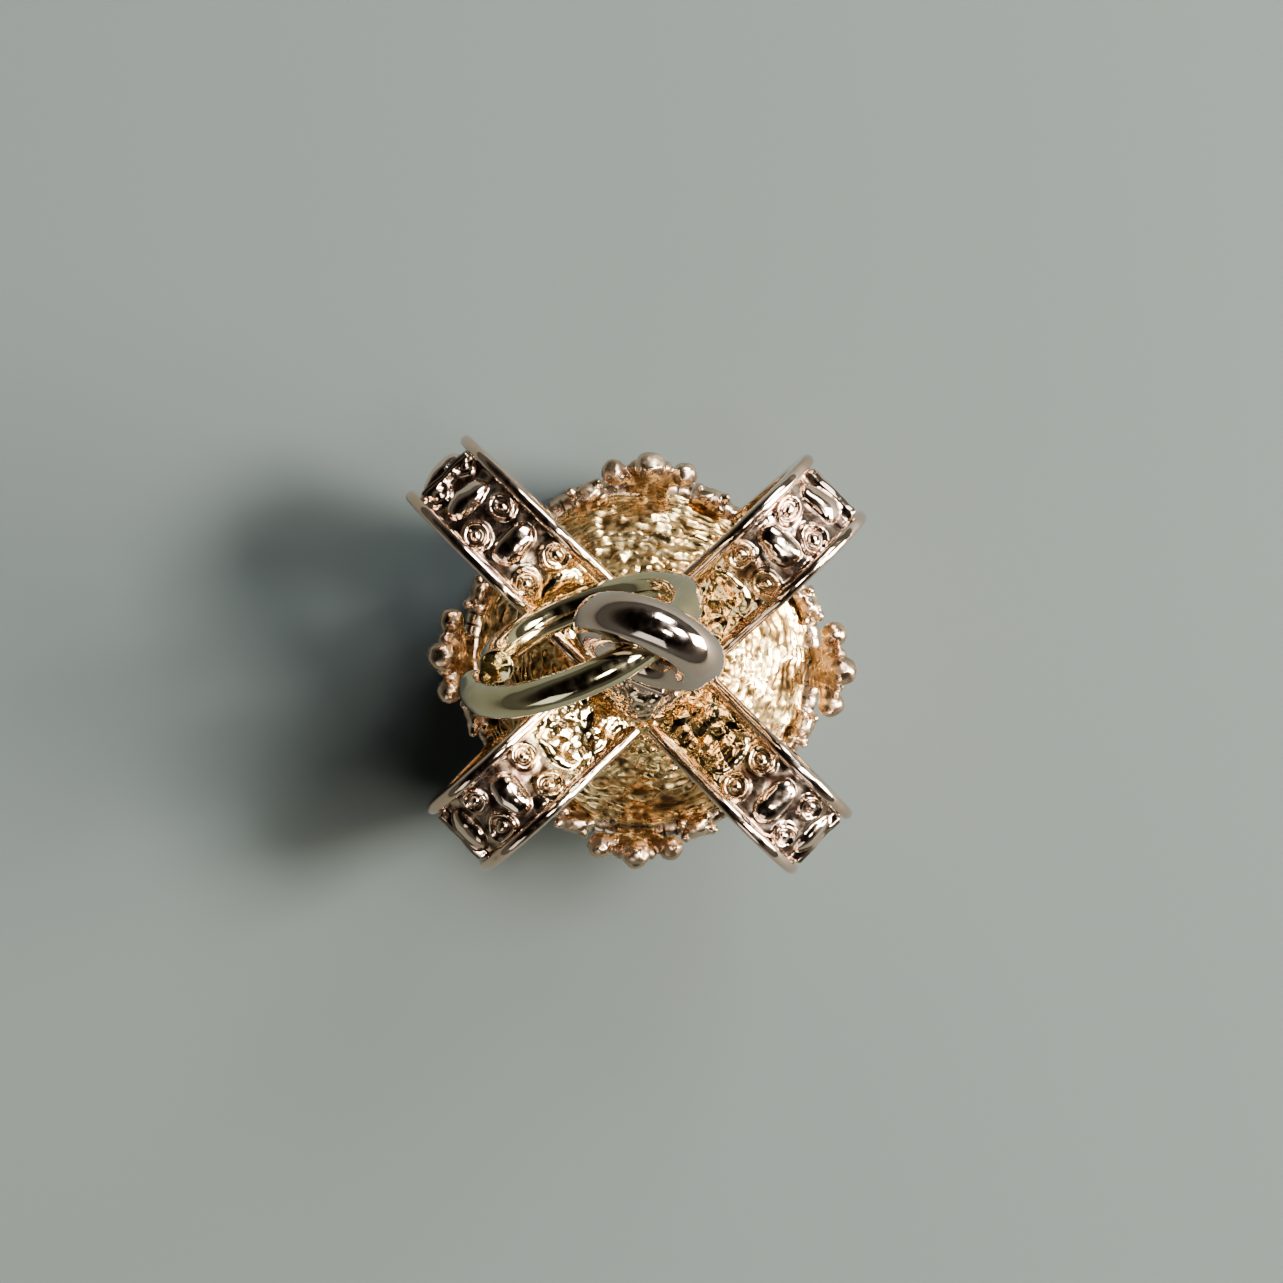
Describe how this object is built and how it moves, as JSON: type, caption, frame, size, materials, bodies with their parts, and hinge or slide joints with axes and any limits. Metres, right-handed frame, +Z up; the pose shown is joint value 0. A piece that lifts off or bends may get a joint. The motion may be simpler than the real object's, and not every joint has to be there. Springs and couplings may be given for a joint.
{
  "type": "crown charm",
  "caption": "Gold charm in the shape of a royal crown, with channelled arches over a domed cap, a soldered bail ring and an open jump ring to hang it by.",
  "frame": {"origin": "centre of the circlet on the surface that the crown stands on", "axes": "+Z up the crown's axis to the bail ring; +X and +Y through two neighbouring fleurs-de-lis of the rim"},
  "size_m": [0.0115, 0.0108, 0.0149],
  "materials": {
    "gold_band": "satin",
    "gold_cap": "satin",
    "gold_arch": "polished",
    "gold_bail": "polished",
    "gold_ring": "polished"
  },
  "bodies": {
    "crown": {"base_roll": "gold_band", "circlet_band": "gold_band", "rim_wire": "gold_band", "cap": "gold_cap", "fleur_east": "gold_band", "fleur_north": "gold_band", "fleur_west": "gold_band", "fleur_south": "gold_band", "setting_east_left": "gold_band", "setting_east_right": "gold_band", "setting_north_left": "gold_band", "setting_north_right": "gold_band", "setting_west_left": "gold_band", "setting_west_right": "gold_band", "setting_south_left": "gold_band", "setting_south_right": "gold_band", "arch_north_east": "gold_arch", "arch_north_west": "gold_arch", "arch_south_west": "gold_arch", "arch_south_east": "gold_arch", "cross_north_east": "gold_band", "cross_north_west": "gold_band", "cross_south_west": "gold_band", "cross_south_east": "gold_band", "crossing_boss": "gold_arch", "orb": "gold_arch", "upper_cross": "gold_arch", "bail_ring": "gold_bail"},
    "jump_ring": {"jump_ring": "gold_ring"}
  },
  "joints": [
    {"name": "jump_ring_swing", "type": "hinge", "parent": "crown", "child": "jump_ring", "pos_m": [0.00011, 0.00104, 0.01311], "axis": [0.5868, 0.563, -0.582], "range_deg": [0, 165]}
  ]
}
